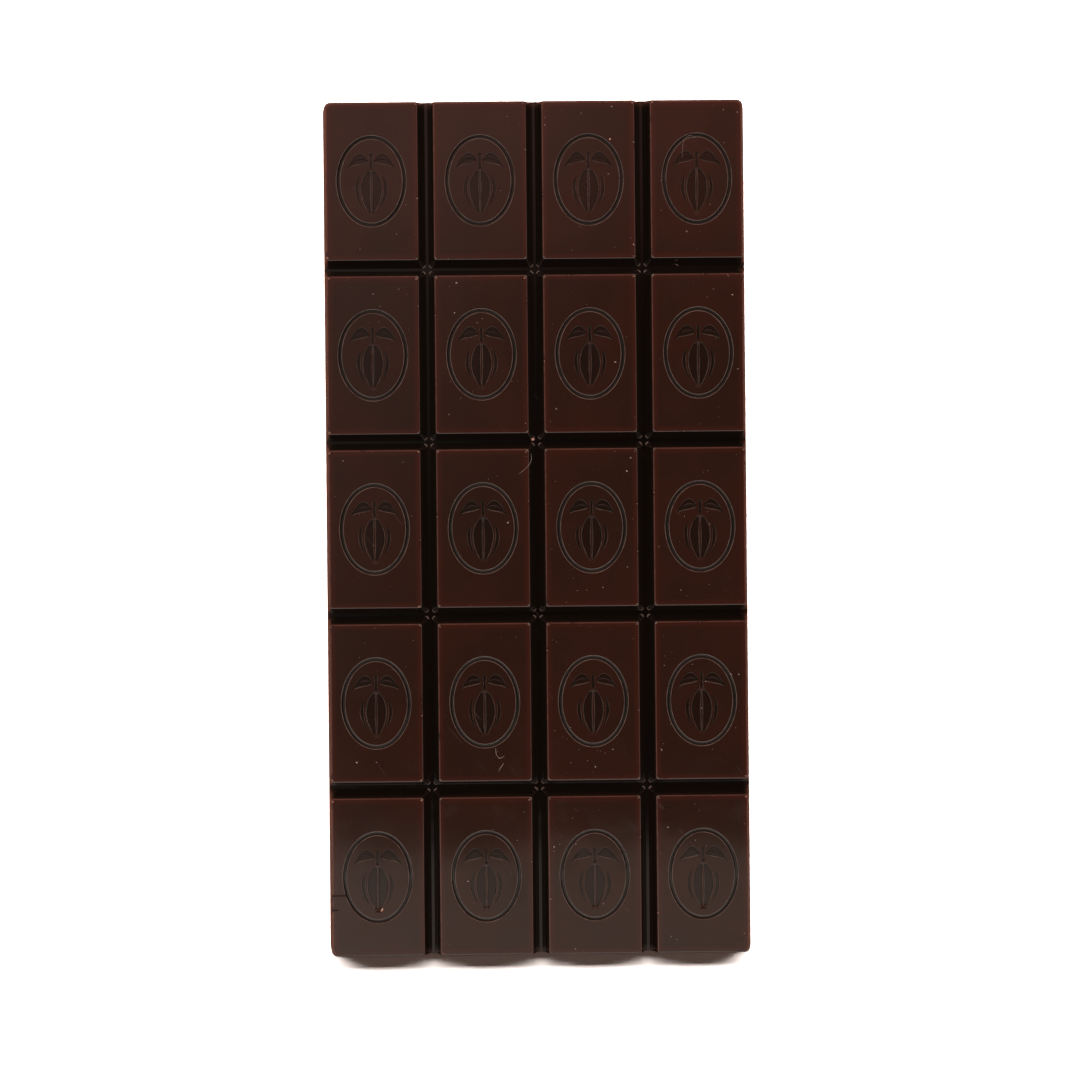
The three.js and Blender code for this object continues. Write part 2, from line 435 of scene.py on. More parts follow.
def draw_motif(plan):
    draw_oval(plan)
    for index in range(FLUTES):
        left = pod_edge(index, RIB / 2 if index else 0)
        right = pod_edge(index + 1, -RIB / 2 if index < FLUTES - 1 else 0)
        if index == 0:
            left, right = crescent(left, right)
        elif index == FLUTES - 1:
            right, left = crescent(right, left)
        draw_patch(plan, left, right, FLUTE_STEPS)
    draw_patch(plan, stalk_edge(-1), stalk_edge(1), STALK_STEPS)
    for hand in (-1, 1):
        draw_patch(plan, leaf_edge(hand, 1), leaf_edge(hand, -1), LEAF_STEPS, LEAF_RIB)


print("pod:", POD_WIDTH, "by", POD_LENGTH, "mm with", FLUTES, "flutes")

# %% [markdown]
# ## Nine kinds of piece
# A piece in the middle of the bar has a groove on all four sides. One at the side has an outer wall
# instead, and one at a corner has two. That makes three kinds across and three along, nine in all. The
# plan of a piece reaches to the middle of its grooves, and down its outer walls to the lower edge.

# %% The plan of one piece
FACE_STEP = 1.0
CLEAR_OF_LINES = 0.45
HALF_X = PITCH_X / 2
HALF_Y = PITCH_Y / 2
QUARTER_SIDES = ((1, 3), (0, 3), (0, 2), (1, 2))  # the two sides that meet at each corner


def stations(half, low_outer, high_outer):
    """Where a line from side to side has its points, and how high each is."""
    walls = [(half - wall_inset(level), level) for level in WALL_LEVELS]
    low = [(-place, level) for place, level in (walls if low_outer else [(half, WEB)])]
    high = [(place, level) for place, level in reversed(walls if high_outer else [(half, WEB)])]
    between = steps_between(low[-1][0], high[0][0])[1:-1]
    return low + [(place, WEB) for place in between] + high


def nearest_side(point, oblong):
    """Which side of an oblong a point on its outline belongs to: left, right, bottom or top."""
    off = [abs(point[side // 2] - oblong[side]) for side in range(4)]
    return off.index(min(off))


THIN_WALLS = (2.0, 2.0, 0.0, 2.0)  # the mark of an outer wall through which light comes
THROUGH_EDGE = 0.5  # the share of it right at the upper edge
THROUGH_FOOT = 0.4  # at the foot
THROUGH_TOP = 0.9  # and just below the rounding
ROUNDED_DROP = 0.11


def wall_mark(side, level):
    """More light comes through an outer wall the nearer to its upper edge, but not over the rounding."""
    below_edge = min(1.0, (THICKNESS - level) / ROUNDED_DROP)
    through = THROUGH_FOOT + (THROUGH_TOP - THROUGH_FOOT) * level / THICKNESS
    return THIN_WALLS[side] * (THROUGH_EDGE + below_edge * (through - THROUGH_EDGE))


def draw_wall_lines(plan, outer):
    """The lines of the web along the outer sides (left, right, bottom, top), down to the lower edge."""
    for level in WALL_LEVELS:
        x, y = HALF_X - wall_inset(level), HALF_Y - wall_inset(level)
        radius = BAR_CORNER + wall_inset(WEB) - wall_inset(level)
        reach_x = [x - radius if is_outer else HALF_X for is_outer in outer[:2]]
        reach_y = [y - radius if is_outer else HALF_Y for is_outer in outer[2:]]
        for side, way in ((0, -1), (1, 1), (2, -1), (3, 1)):
            if outer[side] and side < 2:
                points = [(way * x, p) for p in steps_between(-reach_y[0], reach_y[1])]
                plan.line(points, level, wall_mark(side, level))
            elif outer[side]:
                points = [(p, way * y) for p in steps_between(-reach_x[0], reach_x[1])]
                plan.line(points, level, wall_mark(side, level))
        for quarter, (side_x, side_y) in enumerate(QUARTER_SIDES):
            if outer[side_x] and outer[side_y]:
                way_x, way_y = (-1, 1)[side_x], (-1, 1)[side_y - 2]
                arc = corner_arc(way_x * (x - radius), way_y * (y - radius), radius, quarter)
                marks = [wall_mark(nearest_side(point, (-x, x, -y, y)), level) for point in arc]
                plan.line(arc, level, marks)


# %% The rings and the whole plan
FOOT_GLINTS = (1.5, 2.0, 1.5, 0.0)  # painted glints: rim marks on the upright corners, at each of the foot levels
TOP_GLINTS = (1.3, 1.3, 0.8, 0.8)  # and at the top, for each quarter
GLINT_REACH = 0.65  # how much of a corner glints, as a share of its radius
RUBBED_DROP = 0.05  # an arris is rubbed, and painted lit, down to here
ARRIS_WEAR_AND_LIGHT = (1.0, 0.6, 0.5, 0.9)  # how rubbed an arris is on the left, right, bottom and top, and how much painted light it gets on each side
FLOOR_MARGIN = 0.04  # one more ring on the floor keeps it flat right up to the flank's foot
WARM_RINGS = ((0.1, 0.45), (0.35, 0.35), (0.8, 0.0))  # how far in from the arris, and the arris mark there, which paints a warm glow of light through the thin edge
NONE = (0.0,) * 4


def draw_ring(plan, outer, level, margin, glints=NONE, marks=NONE):
    """The ring at a level, with a margin inside it. Only the corners between two pieces have glints."""
    insets = [wall_inset(level) if is_outer else groove_inset(level) for is_outer in outer]
    margins = [0 if margin < 0 and is_outer else margin for is_outer in outer]
    insets = [inset + own_margin for inset, own_margin in zip(insets, margins)]
    oblong = (insets[0] - HALF_X, HALF_X - insets[1], insets[2] - HALF_Y, HALF_Y - insets[3])
    own_corner = [outer[side_x] and outer[side_y] for side_x, side_y in QUARTER_SIDES]
    points = ring(*oblong, [BAR_CORNER if own else corner_radius(level) for own in own_corner])
    rim = [0.0] * len(points)
    arris = [0.0] * len(points)
    if margin <= 0:
        marks = [wall_mark(side, level) if outer[side] else marks[side] for side in range(4)]
    reach = GLINT_REACH * corner_radius(level)
    for number, point in enumerate(points):
        off = [abs(point[side // 2] - oblong[side]) for side in range(4)]
        arris[number] = marks[nearest_side(point, oblong)]
        for (x, y), glint in zip(QUARTER_SIDES, glints):
            if not (outer[x] or outer[y]) and off[x] < reach and off[y] < reach:
                rim[number] = glint
    plan.line(points, level, arris, 0.0, rim, closed=True)
    return oblong


def draw_piece(outer):
    """The plan of a piece, from which of its sides are outer walls: left, right, bottom, top."""
    plan = Plan()
    for way, is_outer in zip((-1, 1), outer[:2]):
        if not is_outer:
            places = stations(HALF_Y, *outer[2:])
            plan.line([(way * HALF_X, place) for place, _ in places], [level for _, level in places])
    for way, is_outer in zip((-1, 1), outer[2:]):
        if not is_outer:
            places = stations(HALF_X, *outer[:2])
            plan.line([(place, way * HALF_Y) for place, _ in places], [level for _, level in places])
    draw_wall_lines(plan, outer)
    draw_ring(plan, outer, WEB, -FLOOR_MARGIN)
    for level in FLANK_LEVELS:
        if level in FOOT_LEVELS:
            draw_ring(plan, outer, level, 0.0, (FOOT_GLINTS[FOOT_LEVELS.index(level)],) * 4)
        elif level > THICKNESS - RUBBED_DROP:
            draw_ring(plan, outer, level, 0.0, TOP_GLINTS, ARRIS_WEAR_AND_LIGHT)
        else:
            draw_ring(plan, outer, level, 0.0)
    for margin, mark in WARM_RINGS:
        oblong = draw_ring(plan, outer, THICKNESS, margin, marks=(mark,) * 4)
    draw_motif(plan)
    drawn = kdtree.KDTree(len(plan.places))
    for number, place in enumerate(plan.places):
        drawn.insert((place.x, place.y, 0), number)
    drawn.balance()
    for x in steps_between(*oblong[:2], FACE_STEP)[1:-1]:
        for y in steps_between(*oblong[2:], FACE_STEP)[1:-1]:
            if drawn.find((x, y, 0))[2] > CLEAR_OF_LINES:
                plan.points([(x, y)], THICKNESS)
    return plan


print("stations along a groove:", len(stations(HALF_Y, True, False)))

# %% [markdown]
# The nine meshes go into a collection of their own, outside the scene, where Geometry Nodes can pick
# from it by number. A collection's children come in the order of their names, so the names are numbered.

# %% Make the nine pieces
pieces = bpy.data.collections.new("pieces of the mould")
sides = ((True, False), (False, False), (False, True))
for number in range(9):
    outer = (*sides[number // 3], *sides[number % 3])
    piece_mesh = draw_piece(outer).mesh(f"piece_{number}")
    pieces.objects.link(bpy.data.objects.new(f"piece_{number}", piece_mesh))

# %% [markdown]
# ## Lay the pieces out with Geometry Nodes
# What repeats is best made by a node tree, because the counts and the pitch stay named inputs that can be
# tried out. A grid of points takes one instance each. Its place in the grid says which of the nine kinds
# it gets. Real pieces aren't all level: the mould flexes and the chocolate shrinks as it sets, so each top
# leans by a few hundredths of a millimetre and swells a little. Both moves are scaled by how high a point
# is above the grooves' floor, so that the floors still meet and can be welded.

# %% Helpers for node trees
def feed(tree, socket, value):
    """Links the socket to an earlier node's output, or sets it to a plain value."""
    if isinstance(value, bpy.types.NodeSocket):
        tree.links.new(value, socket)
    else:
        socket.default_value = value


def add(tree, kind, settings=None, **values):
    """Adds a node. Its inputs are fed by their names, with _ for a space."""
    made = tree.nodes.new(kind)
    for name, setting in (settings or {}).items():
        setattr(made, name, setting)
    for name, value in values.items():
        usable = [s for s in made.inputs if s.name == name.replace("_", " ") and s.enabled]
        feed(tree, usable[0], value)
    return made


def enabled_output(node):
    return next(socket for socket in node.outputs if socket.enabled)


def math_node(tree, operation, *values):
    made = add(tree, "ShaderNodeMath", {"operation": operation})
    for socket, value in zip(made.inputs, values):
        feed(tree, socket, value)
    return made.outputs[0]


def vector_math(tree, operation, *values):
    made = add(tree, "ShaderNodeVectorMath", {"operation": operation})
    for socket, value in zip(made.inputs, values):
        feed(tree, socket, value)
    return enabled_output(made)


def new_tree(name, inputs, outputs, kind="GeometryNodeTree"):
    """A node group with its input and output sockets, each (name, socket type, default)."""
    tree = bpy.data.node_groups.new(name, kind)
    for label, socket, default in inputs:
        made = tree.interface.new_socket(label, in_out="INPUT", socket_type=socket)
        if default is not None:
            made.default_value = default
    for label, socket in outputs:
        tree.interface.new_socket(label, in_out="OUTPUT", socket_type=socket)
    return tree, tree.nodes.new("NodeGroupInput").outputs, tree.nodes.new("NodeGroupOutput").inputs


def plain_mesh(name, tree, inputs, source=None):
    """Runs a geometry tree on a mesh and returns the result as a new object without a modifier."""
    holder = bpy.data.objects.new(name + " maker", source or bpy.data.meshes.new(name))
    bpy.context.scene.collection.objects.link(holder)
    modifier = holder.modifiers.new("nodes", "NODES")
    modifier.node_group = tree
    for item in tree.interface.items_tree:
        if item.in_out == "INPUT" and item.name in inputs:
            modifier[item.identifier] = inputs[item.name]
    bpy.context.view_layer.update()
    evaluated = holder.evaluated_get(bpy.context.evaluated_depsgraph_get())
    mesh = bpy.data.meshes.new_from_object(evaluated)
    mesh.name = name
    bpy.data.objects.remove(holder)
    made = bpy.data.objects.new(name, mesh)
    bpy.context.scene.collection.objects.link(made)
    return made


def stored(tree, geometry, name, value, data_type):
    settings = {"data_type": data_type, "domain": "POINT"}
    return add(
        tree, "GeometryNodeStoreNamedAttribute", settings, Geometry=geometry, Name=name, Value=value
    ).outputs[0]


def read_back(tree, name, data_type):
    return enabled_output(add(tree, "GeometryNodeInputNamedAttribute", {"data_type": data_type}, Name=name))


FLOAT, INTEGER, VECTOR = [f"NodeSocket{kind}" for kind in ("Float", "Int", "Vector")]
GEOMETRY, COLLECTION, OBJECT, MATERIAL = [
    f"NodeSocket{kind}" for kind in ("Geometry", "Collection", "Object", "Material")
]
VECTOR_TYPE = {"data_type": "FLOAT_VECTOR"}
print("helpers for trees are ready")

# %% The tree that lays out the bar
tree, given, result = new_tree(
    "lay out the bar",
    [
        ("Geometry", GEOMETRY, None),
        ("Pieces", COLLECTION, None),
        ("Columns", INTEGER, 1),
        ("Rows", INTEGER, 1),
        ("Pitch X", FLOAT, 0.01),
        ("Pitch Y", FLOAT, 0.01),
        ("Lean", FLOAT, 0.0),
        ("Swell", FLOAT, 0.0),
        ("Swell size", FLOAT, 0.01),
        ("Seed", INTEGER, 0),
    ],
    [("Geometry", GEOMETRY)],
)
layout = partial(math_node, tree)


def span(count, pitch):
    return layout("MULTIPLY", layout("SUBTRACT", given[count], 1.0), given[pitch])


def kind_along(place, count):
    """0 at the first place, 2 at the last and 1 between."""
    last = layout("SUBTRACT", given[count], 1.5)
    return layout("ADD", layout("GREATER_THAN", place, 0.5), layout("GREATER_THAN", place, last))


grid = add(
    tree,
    "GeometryNodeMeshGrid",
    Size_X=span("Columns", "Pitch X"),
    Size_Y=span("Rows", "Pitch Y"),
    Vertices_X=given["Columns"],
    Vertices_Y=given["Rows"],
)
index = add(tree, "GeometryNodeInputIndex").outputs[0]
column = layout("FLOOR", layout("DIVIDE", layout("ADD", index, 0.5), given["Rows"]))
row = layout("SUBTRACT", index, layout("MULTIPLY", column, given["Rows"]))
kind = layout("ADD", layout("MULTIPLY", kind_along(column, "Columns"), 3.0), kind_along(row, "Rows"))

random_lean = add(
    tree, "FunctionNodeRandomValue", VECTOR_TYPE, Min=(-1, -1, 0), Max=(1, 1, 0), Seed=given["Seed"]
)
position = add(tree, "GeometryNodeInputPosition").outputs[0]
points = stored(tree, grid.outputs["Mesh"], "lean", enabled_output(random_lean), "FLOAT_VECTOR")
points = stored(tree, points, "middle", position, "FLOAT_VECTOR")
picked = add(tree, "GeometryNodeCollectionInfo", Collection=given["Pieces"], Separate_Children=True)
feed(tree, picked.inputs["Reset Children"], True)
laid = add(
    tree,
    "GeometryNodeInstanceOnPoints",
    Points=points,
    Instance=picked.outputs[0],
    Pick_Instance=True,
    Instance_Index=kind,
)
real = add(tree, "GeometryNodeRealizeInstances", Geometry=laid.outputs[0])
print("each grid point picks one of the nine pieces")

# %% [markdown]
# The pieces are real meshes now, so each point can be moved by its own offset from its piece's middle.
# Where two pieces meet, their points fall together, and are merged.

# %% Lean and swell
WELD = 0.002 * MM
from_middle = vector_math(tree, "SUBTRACT", position, read_back(tree, "middle", "FLOAT_VECTOR"))
slope = vector_math(tree, "DOT_PRODUCT", from_middle, read_back(tree, "lean", "FLOAT_VECTOR"))
noise_scale = layout("DIVIDE", 1.0, given["Swell size"])
swell_noise = add(tree, "ShaderNodeTexNoise", Scale=noise_scale, Detail=1.0)
swell = layout("MULTIPLY", layout("SUBTRACT", swell_noise.outputs[0], 0.5), given["Swell"])
lift = layout("ADD", layout("MULTIPLY", slope, given["Lean"]), swell)
offset = add(tree, "ShaderNodeCombineXYZ", Z=layout("MULTIPLY", lift, read_back(tree, "rise", "FLOAT")))
moved = add(tree, "GeometryNodeSetPosition", Geometry=real.outputs[0], Offset=offset.outputs[0])
welded = add(tree, "GeometryNodeMergeByDistance", Geometry=moved.outputs[0], Distance=WELD)
tree.links.new(welded.outputs[0], result["Geometry"])

layout_inputs = {
    "Pieces": pieces,
    "Columns": COLUMNS,
    "Rows": ROWS,
    "Pitch X": PITCH_X * MM,
    "Pitch Y": PITCH_Y * MM,
    "Lean": 0.0012,
    "Swell": 0.04 * MM,
    "Swell size": 11 * MM,
    "Seed": 5,
}
top_sheet = plain_mesh("top_sheet", tree, layout_inputs)
print("triangles in the top sheet:", len(top_sheet.data.polygons))

# %% [markdown]
# ## Close the back
# The sheet is open at its lower edge. The back is drawn as one more plan inside that edge: a small
# rounding, and then a nearly flat face, which was the open side of the mould and has set with low ripples.

# %% The back
BACK_STEP = 3.0
BACK_TURNS = [math.radians(turn) for turn in (30, 60, 90)]
RIPPLE = 0.05
RIPPLE_SIZE = 13.0


def open_edge(mesh):
    """The points of a mesh's single open edge, in order."""
    sheet = bmesh.new()
    sheet.from_mesh(mesh)
    here = next(edge for edge in sheet.edges if edge.is_boundary).verts[0]
    places, last = [], None
    while not places or here != start:
        start = here if not places else start
        places.append((here.co.x / MM, here.co.y / MM))
        ahead = [edge.other_vert(here) for edge in here.link_edges if edge.is_boundary]
        here, last = next(vert for vert in ahead if vert != last), here
    sheet.free()
    return places


def back_plan(places):
    plan = Plan()
    out = wall_inset(BACK_RADIUS)
    x, y = COLUMNS * HALF_X - out, ROWS * HALF_Y - out
    marks = [wall_mark(nearest_side(place, (-x, x, -y, y)), BACK_RADIUS) for place in places]
    plan.line(places, BACK_RADIUS, marks, closed=True)
    for turn in BACK_TURNS:
        inset = out + BACK_RADIUS * (1 - math.cos(turn))
        x, y = COLUMNS * HALF_X - inset, ROWS * HALF_Y - inset
        height = BACK_RADIUS * (1 - math.sin(turn))
        radius = BAR_CORNER + wall_inset(WEB) - inset
        plan.line(ring(-x, x, -y, y, (radius,) * 4), height, closed=True)
    for inner_x in steps_between(-x, x, BACK_STEP)[1:-1]:
        for inner_y in steps_between(-y, y, BACK_STEP)[1:-1]:
            ripple = noise.noise(Vector((inner_x / RIPPLE_SIZE, inner_y / RIPPLE_SIZE, 4)))
            plan.points([(inner_x, inner_y)], RIPPLE * max(0.0, ripple))
    return plan


edge_places = open_edge(top_sheet.data)
back_mesh = back_plan(edge_places).mesh("back_sheet")
back_mesh.flip_normals()
print("points along the open edge:", len(edge_places), "triangles in the back:", len(back_mesh.polygons))

# %% [markdown]
# Joined and welded, the two sheets are one closed solid. Its volume is a good test: if a seam were open
# or a face turned the wrong way, the volume would be wrong.

# %% One closed solid
CM = 10 * MM


def print_solidity(mesh):
    open_edges = sum(1 for edge in mesh.edges if not edge.is_manifold)
    volume = mesh.calc_volume(signed=True) / CM**3
    print("edges not closed:", open_edges, "volume:", round(volume, 2), "cm3")


whole = bmesh.new()
whole.from_mesh(top_sheet.data)
whole.from_mesh(back_mesh)
bmesh.ops.remove_doubles(whole, verts=whole.verts, dist=WELD)
print_solidity(whole)
closed_mesh = bpy.data.meshes.new("chocolate_closed")
whole.to_mesh(closed_mesh)
whole.free()
closed_mesh.shade_smooth()
bpy.data.objects.remove(top_sheet)
print("triangles in the solid:", len(closed_mesh.polygons))

# %% [markdown]
# ## Pits, nicks and cracks
# Bubbles that clung to the mould's corners leave small round pits at the corners of the pieces, and where
# the bar was knocked there are nicks along the arrises. Two fine cracks run in from the left side. None of
# this repeats from piece to piece, so it is cut from the whole solid, once there is a finish for the cut
# faces. Only the places are chosen here.

# %% Where the pits are
NICK_RADII = (0.07, 0.14)
NICKS_PER_PIECE = 2
NICK_AT_END_CHANCE = 0.35
NICK_FROM_EDGE = 0.08
NICK_REACH = 0.85  # no nearer to a corner than this share of the way
PIT_RADII = (0.13, 0.2)
PIT_FROM_EDGES = (0.22, 0.42)
UPPER_CORNER_CHANCE = 0.75
LOWER_CORNER_CHANCE = 0.35
LEAST_APART = 0.8
PIT_LIFT = (-0.2, 0.25)  # a pit's middle over the top, as a share of its radius
CRACKS = (((-28.2, -50.9), 2.6), ((-29.0, -52.9), 1.6))  # the middle and the length of each, along X
CRACK_SECTION = (0.1, 0.36)  # sides of a square set on its corner, so its lower half cuts a V
chance = random.Random(11)


def corner_pits(x, y, half_x, half_y):
    for way_x in (-1, 1):
        for way_y, odds in ((1, UPPER_CORNER_CHANCE), (-1, LOWER_CORNER_CHANCE)):
            if chance.random() < odds:
                in_x, in_y = chance.uniform(*PIT_FROM_EDGES), chance.uniform(*PIT_FROM_EDGES)
                yield x + way_x * (half_x - in_x), y + way_y * (half_y - in_y), chance.uniform(*PIT_RADII)


def nicks(x, y, half_x, half_y):
    for _ in range(NICKS_PER_PIECE):
        way, along = chance.choice((-1, 1)), chance.uniform(-NICK_REACH, NICK_REACH)
        place = (way * (half_x - NICK_FROM_EDGE), along * half_y)
        if chance.random() < NICK_AT_END_CHANCE:
            place = (along * half_x, way * (half_y - NICK_FROM_EDGE))
        yield x + place[0], y + place[1], chance.uniform(*NICK_RADII)


def pit_places():
    """Middles and radii of the pits: x, y, z, radius."""
    halves = (HALF_X - GROOVE_OPENING / 2, HALF_Y - GROOVE_OPENING / 2)
    found = []
    for column in range(COLUMNS):
        for row in range(ROWS):
            x = (column - (COLUMNS - 1) / 2) * PITCH_X
            y = (row - (ROWS - 1) / 2) * PITCH_Y
            found += [*corner_pits(x, y, *halves), *nicks(x, y, *halves)]
    kept = []
    for x, y, radius in found:
        if all(math.hypot(x - other[0], y - other[1]) > LEAST_APART for other in kept):
            kept.append((x, y, THICKNESS + chance.uniform(*PIT_LIFT) * radius, radius))
    return kept


pits = pit_places()
print("pits and nicks:", len(pits), "cracks:", len(CRACKS))

# %% [markdown]
# ## Shader groups
# A surface that looks real has a few kinds of unevenness, each with its own size. Each kind is a small
# node group that gives a mask, so that it can be tried alone and used more than once. They all start from
# object coordinates, which are in metres, so a scale of 1000 makes a pattern 1 mm large.

# %% Clouds: soft patches
EASED = {"interpolation_type": "SMOOTHSTEP"}


def noise_mask(tree, scale, low, high, detail=2.0, coordinates=None, distortion=0.0):
    """A noise as a mask from 0 to 1 between two thresholds."""
    source = coordinates or add(tree, "ShaderNodeTexCoord").outputs["Object"]
    amounts = {"Scale": scale, "Detail": detail, "Distortion": distortion}
    clouds = add(tree, "ShaderNodeTexNoise", Vector=source, **amounts)
    ramp = add(tree, "ShaderNodeMapRange", EASED, Value=clouds.outputs[0], From_Min=low, From_Max=high)
    return ramp.outputs[0]


def make_clouds():
    group, given, result = new_tree(
        "clouds",
        [("Size", FLOAT, 5 * MM), ("Low", FLOAT, 0.4), ("High", FLOAT, 0.7), ("Shift", VECTOR, (0, 0, 0))],
        [("Mask", FLOAT)],
        "ShaderNodeTree",
    )
    source = add(group, "ShaderNodeTexCoord").outputs["Object"]
    shifted = vector_math(group, "ADD", source, given["Shift"])
    scale = math_node(group, "DIVIDE", 1.0, given["Size"])
    group.links.new(noise_mask(group, scale, given["Low"], given["High"], 2.0, shifted), result["Mask"])
    return group


clouds_group = make_clouds()
print("clouds:", [item.name for item in clouds_group.interface.items_tree])

# %% [markdown]
# A scratch is a noise drawn out a hundred times longer than it is wide, cut down to its highest crests.
# It only shows where a second, softer noise lets it, so that scratches end and come in small families.

# %% Scratches
DRAWN_OUT = (1.0, 0.012, 1.0)
CREST = 0.82  # where a scratch has its full strength
FAMILIES = (260.0, 0.52, 0.66)  # the scale of the softer noise, and its two thresholds


def make_scratches():
    group, given, result = new_tree(
        "scratches",
        [("Turn", FLOAT, 0.0), ("Spacing", FLOAT, 0.35 * MM), ("Rarity", FLOAT, 0.7)],
        [("Mask", FLOAT)],
        "ShaderNodeTree",
    )
    source = add(group, "ShaderNodeTexCoord").outputs["Object"]
    about_z = {"rotation_type": "Z_AXIS"}
    turned = add(group, "ShaderNodeVectorRotate", about_z, Vector=source, Angle=given["Turn"])
    drawn_out = vector_math(group, "MULTIPLY", turned.outputs[0], DRAWN_OUT)
    scale = math_node(group, "DIVIDE", 1.0, given["Spacing"])
    line = noise_mask(group, scale, given["Rarity"], CREST, 0.0, drawn_out, 0.3)
    where = noise_mask(group, *FAMILIES)
    group.links.new(math_node(group, "MULTIPLY", line, where), result["Mask"])
    return group


scratches_group = make_scratches()
print("scratches:", [item.name for item in scratches_group.interface.items_tree])

# %% [markdown]
# ## Dark chocolate
# Chocolate is so dark that nearly all one sees is what it reflects, and how. Its colour is painted lighter
# at the arrises, partly because they are rubbed and partly as painted light coming through where it is
# thin, each side by its own amount as the light falls. Grey highlights are painted on the rims of the
# motif, glints at the corners, and shade in the grooves, the cracks and the pressed motif. The marks drawn
# in the plan say where those are. Light that soaks in and comes out again is a very faint glow, which
# costs far less to render than real scattering and is all that can be seen of it in something this dark.

# %% Its colours
DARK = (0.0138, 0.0050, 0.0031, 1)
REDDISH = (0.0200, 0.0055, 0.0032, 1)
# painted light along the arrises: a warm glow of light through the thin edge, and the edge itself, rubbed
# and with a painted highlight
WARM = (0.0270, 0.0062, 0.0037, 1)
RUBBED_LIT_EDGE = (0.058, 0.0165, 0.0098, 1)
# a painted grey highlight on the rims of the motif and on the corners
RIM_HIGHLIGHT = (0.078, 0.049, 0.038, 1)
# a painted glint, which the corners emit
GLINT = (0.062, 0.038, 0.029, 1)
THIN = (0.130, 0.044, 0.027, 1)  # the outer walls, where light comes through
# broken chocolate is paler, and this colour also stands for painted light glowing through a chip's thin
# edge
CHIPPED_AND_GLOW = (0.21, 0.088, 0.058, 1)
# painted shade on the floors of the pressed motif
PRESSED_SHADE = (0.0050, 0.0026, 0.0018, 1)
SOAKED = (0.0034, 0.0021, 0.0014, 1)  # light that has soaked in and come out again
IN_GROOVE = 0.06  # what is left of the colour down in a groove, where light doesn't reach
DEEP_FROM, DEEP_TO = 0.012, 0.42  # where the shade starts and is full, as shares of the groove's depth
DEEP_CURVE = 0.38
MOTIF_SPARED = 0.5  # how much of that shade the motif is spared
SPARED_BY_PRESSING = 4.0  # a mark of an eighth spares it that much
SOFT_OUTLINE = 0.7  # mm over which the shade ends at the bar's outline
RED_PATCHES = 0.65  # the share of the reddening that lies in large patches, not in a fine mottle
LEAST_RUBBED = 0.4  # how much of its painted highlight a rubbed edge or a rim keeps where it is least worn
ARRIS_WARM, ARRIS_RUBBED = 0.5, 0.45  # arris marks where the painted warm glow is full, and where the rubbed and painted lit edge starts


def material_tree(name):
    material = bpy.data.materials.new(name)
    material.use_nodes = True
    material.node_tree.nodes.clear()
    return material, material.node_tree


def plain_material(name, color, roughness):
    material, tree = material_tree(name)
    surface = add(tree, "ShaderNodeBsdfPrincipled", Base_Color=color, Roughness=roughness)
    tree.links.new(surface.outputs[0], add(tree, "ShaderNodeOutputMaterial").inputs["Surface"])
    return material


def group_node(tree, group, output="Mask", **values):
    made = add(tree, "ShaderNodeGroup", {"node_tree": group})
    for name, value in values.items():
        feed(tree, made.inputs[name], value)
    return made.outputs[output]


def mixed(tree, factor, first, second, blend="MIX"):
    made = add(tree, "ShaderNodeMix", {"data_type": "RGBA", "blend_type": blend})
    for socket, value in zip([made.inputs[0], made.inputs[6], made.inputs[7]], (factor, first, second)):
        feed(tree, socket, value)
    return made.outputs[2]


def marked(tree, name):
    return add(tree, "ShaderNodeAttribute", {"attribute_name": name}).outputs["Fac"]


def inside_outline(tree, margin):
    """1 over the bar's top and 0 past its upper edge, softened over the margin in mm."""
    place = add(tree, "ShaderNodeSeparateXYZ", Vector=add(tree, "ShaderNodeTexCoord").outputs["Object"])
    mask = None
    for axis, half in (("X", COLUMNS * HALF_X), ("Y", ROWS * HALF_Y)):
        edge = (half - GROOVE_OPENING / 2) * MM
        out = math_node(tree, "ABSOLUTE", place.outputs[axis])
        inside = add(tree, "ShaderNodeMapRange", Value=out, From_Min=edge, From_Max=edge - margin * MM)
        mask = inside.outputs[0] if mask is None else math_node(tree, "MULTIPLY", mask, inside.outputs[0])
    return mask


def shade_in_grooves(tree):
    """How deep down a place is, from 0 on the top to 1, less in the motif and none past the outline."""
    calc = partial(math_node, tree)
    low = calc("SUBTRACT", 1.0, marked(tree, "rise"))
    ramp = add(tree, "ShaderNodeMapRange", Value=low, From_Min=DEEP_FROM, From_Max=DEEP_TO).outputs[0]
    deep = calc("MULTIPLY", calc("POWER", ramp, DEEP_CURVE), inside_outline(tree, SOFT_OUTLINE))
    pressed = calc("MULTIPLY", marked(tree, "pressed"), SPARED_BY_PRESSING)
    return calc("MULTIPLY", deep, calc("SUBTRACT", 1.0, calc("MINIMUM", pressed, MOTIF_SPARED)))


